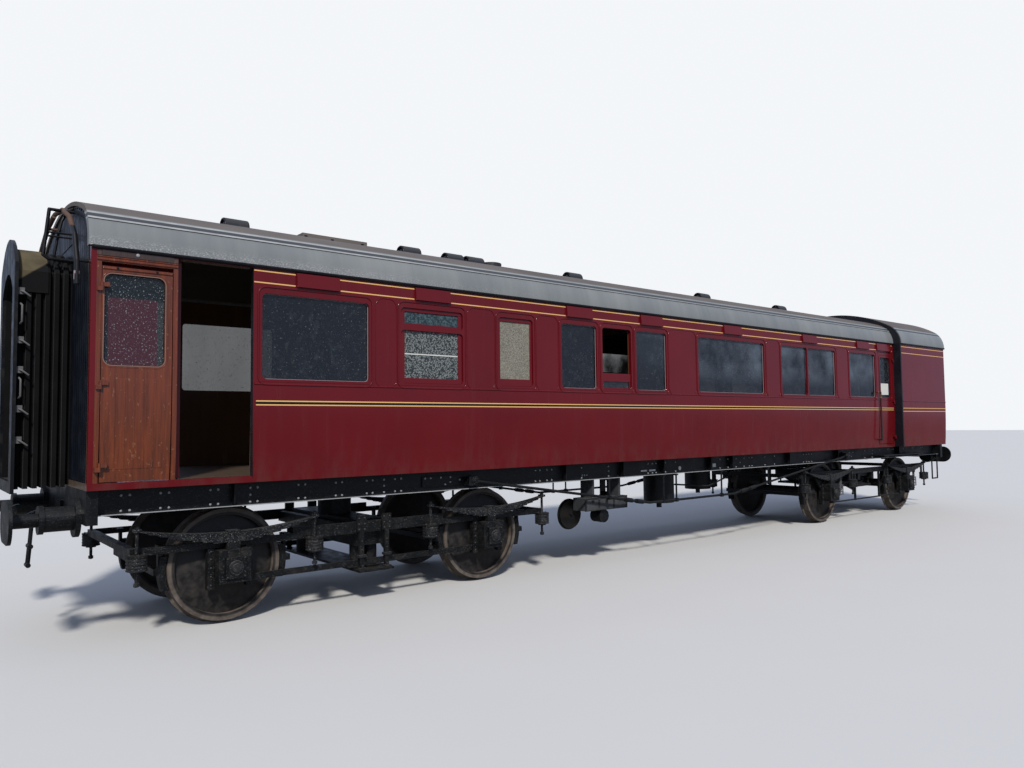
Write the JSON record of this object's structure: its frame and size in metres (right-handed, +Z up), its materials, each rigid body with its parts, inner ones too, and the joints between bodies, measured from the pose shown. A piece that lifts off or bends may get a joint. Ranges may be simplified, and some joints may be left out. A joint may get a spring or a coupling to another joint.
{
  "type": "railway passenger coach",
  "caption": "Old maroon bogie railway test coach with varnished end doors, lookout end, truss rods and a gangway",
  "frame": {"origin": "centre of the footprint, at the height of the wheel flange tips", "axes": "+X along the coach towards the lookout end, +Y across it, +Z up"},
  "size_m": [17.52, 2.946, 4.143],
  "materials": {
    "maroon": "semi-gloss, weathered",
    "roof_grey": "matt, dusty",
    "black_frame": "matt, dusty",
    "end_black": "satin, dusty",
    "varnished_wood": "worn varnish",
    "glass": "clear, dusty",
    "frosted": "frosted",
    "inside_wood": "satin",
    "floor_wood": "worn",
    "canvas": "weathered canvas",
    "bellows_cloth": "proofed cloth",
    "steel": "worn",
    "running_gear": "oily, dusty",
    "wheel_steel": "rusty, bright treads",
    "gangway_black": "satin"
  },
  "bodies": {
    "body": {"battery_boxes": "black_frame", "body_sides": "maroon", "buffers": "black_frame", "clear_glass": "glass", "door_frames": "varnished_wood", "drawgear": "running_gear", "dynamo": "black_frame", "end_pipes": "running_gear", "floor": "floor_wood", "frosted_glass": "frosted", "gangway_bellows": "bellows_cloth", "gangway_canopy": "canvas", "gangway_end_wall": "end_black", "gangway_face_plate": "gangway_black", "grab_handles": "black_frame", "gutters": "end_black", "headstocks": "black_frame", "lookout_end_wall": "end_black", "lookout_front": "end_black", "lookout_roof": "roof_grey", "lookout_sides": "maroon", "measuring_bracket": "black_frame", "partitions": "inside_wood", "roof": "roof_grey", "roof_hatch": "roof_grey", "roof_vents": "roof_grey", "solebars": "black_frame", "steps": "black_frame", "truss_rods": "black_frame", "underframe_members": "black_frame", "vacuum_cylinders": "black_frame", "vent_hoods": "maroon", "waist_rails": "maroon", "window_frames": "maroon"},
    "bogie_a": {"bogie_a_axleboxes": "running_gear", "bogie_a_bolster": "running_gear", "bogie_a_brakes": "running_gear", "bogie_a_frame": "running_gear", "bogie_a_springs": "running_gear"},
    "bogie_a_wheelset_1": {"bogie_a_wheelset_1": "wheel_steel"},
    "bogie_a_wheelset_2": {"bogie_a_wheelset_2": "wheel_steel"},
    "bogie_b": {"bogie_b_axleboxes": "running_gear", "bogie_b_bolster": "running_gear", "bogie_b_brakes": "running_gear", "bogie_b_frame": "running_gear", "bogie_b_springs": "running_gear"},
    "bogie_b_wheelset_1": {"bogie_b_wheelset_1": "wheel_steel"},
    "bogie_b_wheelset_2": {"bogie_b_wheelset_2": "wheel_steel"},
    "end_door_far": {"end_door_far": "maroon"},
    "end_door_near": {"end_door_near": "maroon"},
    "measuring_arm": {"measuring_arm": "running_gear"},
    "measuring_wheel": {"measuring_wheel": "steel"},
    "slide_door_far": {"slide_door_far": "maroon"},
    "slide_door_near": {"slide_door_near": "maroon"},
    "wood_door_far": {"wood_door_far": "varnished_wood"},
    "wood_door_near": {"wood_door_near": "varnished_wood"}
  },
  "joints": [
    {"name": "wood_door_near_hinge", "type": "hinge", "parent": "body", "child": "wood_door_near", "pos_m": [-8.158, -1.318, 2.228], "axis": [0, 0, -1], "range_deg": [0, 100]},
    {"name": "slide_door_near_slide", "type": "slide", "parent": "body", "child": "slide_door_near", "axis": [1, 0, 0], "range_m": [0, 0.627]},
    {"name": "end_door_near_hinge", "type": "hinge", "parent": "body", "child": "end_door_near", "pos_m": [5.848, -1.318, 2.228], "axis": [0, 0, 1], "range_deg": [0, 85]},
    {"name": "wood_door_far_hinge", "type": "hinge", "parent": "body", "child": "wood_door_far", "pos_m": [-8.158, 1.318, 2.228], "axis": [0, 0, 1], "range_deg": [0, 100]},
    {"name": "slide_door_far_slide", "type": "slide", "parent": "body", "child": "slide_door_far", "axis": [1, 0, 0], "range_m": [0, 0.627]},
    {"name": "end_door_far_hinge", "type": "hinge", "parent": "body", "child": "end_door_far", "pos_m": [5.848, 1.318, 2.228], "axis": [0, 0, -1], "range_deg": [0, 85]},
    {"name": "bogie_a_pivot", "type": "hinge", "parent": "body", "child": "bogie_a", "pos_m": [-5.435, 0, 1.083], "axis": [0, 0, 1], "range_deg": [-4, 4]},
    {"name": "bogie_a_axle_1", "type": "hinge", "parent": "bogie_a", "child": "bogie_a_wheelset_1", "pos_m": [-6.959, 0, 0.5615], "axis": [0, 1, 0], "continuous": true},
    {"name": "bogie_a_axle_2", "type": "hinge", "parent": "bogie_a", "child": "bogie_a_wheelset_2", "pos_m": [-3.911, 0, 0.5615], "axis": [0, 1, 0], "continuous": true},
    {"name": "bogie_b_pivot", "type": "hinge", "parent": "body", "child": "bogie_b", "pos_m": [5.435, 0, 1.083], "axis": [0, 0, 1], "range_deg": [-4, 4]},
    {"name": "bogie_b_axle_1", "type": "hinge", "parent": "bogie_b", "child": "bogie_b_wheelset_1", "pos_m": [3.911, 0, 0.5615], "axis": [0, 1, 0], "continuous": true},
    {"name": "bogie_b_axle_2", "type": "hinge", "parent": "bogie_b", "child": "bogie_b_wheelset_2", "pos_m": [6.959, 0, 0.5615], "axis": [0, 1, 0], "continuous": true},
    {"name": "measuring_arm_pivot", "type": "hinge", "parent": "body", "child": "measuring_arm", "pos_m": [-1.641, -0.7, 0.888], "axis": [0, -1, 0], "range_deg": [0, 40.5]},
    {"name": "measuring_wheel_axle", "type": "hinge", "parent": "measuring_arm", "child": "measuring_wheel", "pos_m": [-2.384, -0.75, 0.662], "axis": [0, 1, 0], "continuous": true}
  ]
}
